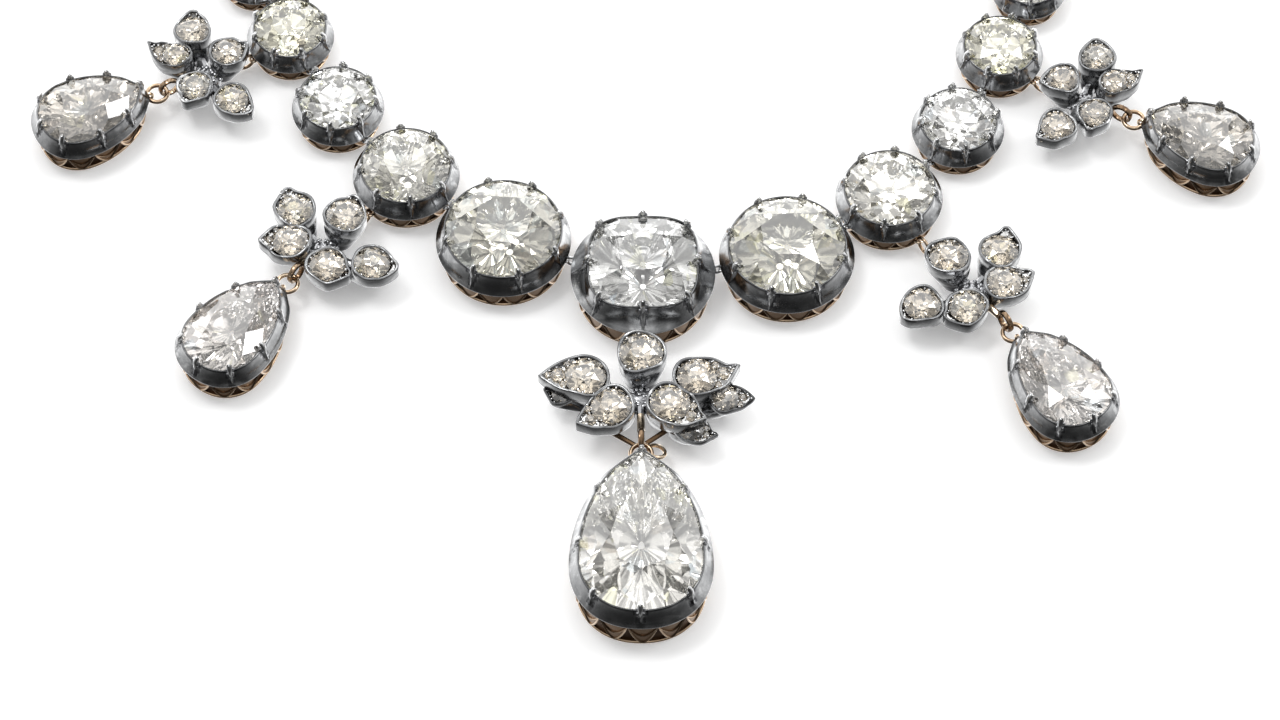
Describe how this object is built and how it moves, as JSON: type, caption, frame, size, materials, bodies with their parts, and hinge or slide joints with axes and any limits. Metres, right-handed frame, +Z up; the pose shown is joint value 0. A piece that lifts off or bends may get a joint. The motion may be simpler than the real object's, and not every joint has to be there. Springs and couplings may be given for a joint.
{
  "type": "diamond necklace",
  "caption": "Necklace of claw-set collets in a graduated loop, with pear drops hung from clusters of leaves.",
  "frame": {"origin": "centre of the bounding box in X and Y, on the surface that the necklace lies on", "axes": "+X to the right of a viewer in front, +Y from the centre drop back to the clasp, +Z up out of the stones' tables"},
  "size_m": [0.1434, 0.1829, 0.0087],
  "materials": {
    "silver": "aged silver, darkened in its recesses",
    "gold": "worn rose gold",
    "diamond": "old-cut diamond, polished facets",
    "leaf_diamond": "champagne old-cut diamond, polished facets"
  },
  "bodies": {
    "root": {"collet_centre": "silver", "diamond_centre": "diamond", "collet_left_1": "silver", "diamond_left_1": "diamond", "collet_left_2": "silver", "diamond_left_2": "diamond", "collet_left_3": "silver", "diamond_left_3": "diamond", "collet_left_4": "silver", "diamond_left_4": "diamond", "collet_right_1": "silver", "diamond_right_1": "diamond", "collet_right_2": "silver", "diamond_right_2": "diamond", "collet_right_3": "silver", "diamond_right_3": "diamond", "collet_right_4": "silver", "diamond_right_4": "diamond", "leaves_centre": "silver", "leaf_diamonds_centre": "leaf_diamond", "carrier_ring_centre": "gold", "drop_ring_centre": "gold", "pear_setting_centre": "silver", "pear_diamond_centre": "diamond", "leaves_lower_left": "silver", "leaf_diamonds_lower_left": "leaf_diamond", "carrier_ring_lower_left": "gold", "drop_ring_lower_left": "gold", "pear_setting_lower_left": "silver", "pear_diamond_lower_left": "diamond", "leaves_lower_right": "silver", "leaf_diamonds_lower_right": "leaf_diamond", "carrier_ring_lower_right": "gold", "drop_ring_lower_right": "gold", "pear_setting_lower_right": "silver", "pear_diamond_lower_right": "diamond", "leaves_upper_left": "silver", "leaf_diamonds_upper_left": "leaf_diamond", "carrier_ring_upper_left": "gold", "drop_ring_upper_left": "gold", "pear_setting_upper_left": "silver", "pear_diamond_upper_left": "diamond", "leaves_upper_right": "silver", "leaf_diamonds_upper_right": "leaf_diamond", "carrier_ring_upper_right": "gold", "drop_ring_upper_right": "gold", "pear_setting_upper_right": "silver", "pear_diamond_upper_right": "diamond", "links_left": "silver", "links_right": "silver", "collets_back_left": "silver", "collets_back_right": "silver", "diamonds_back_left": "diamond", "diamonds_back_right": "diamond", "clasp": "silver"}
  },
  "joints": []
}
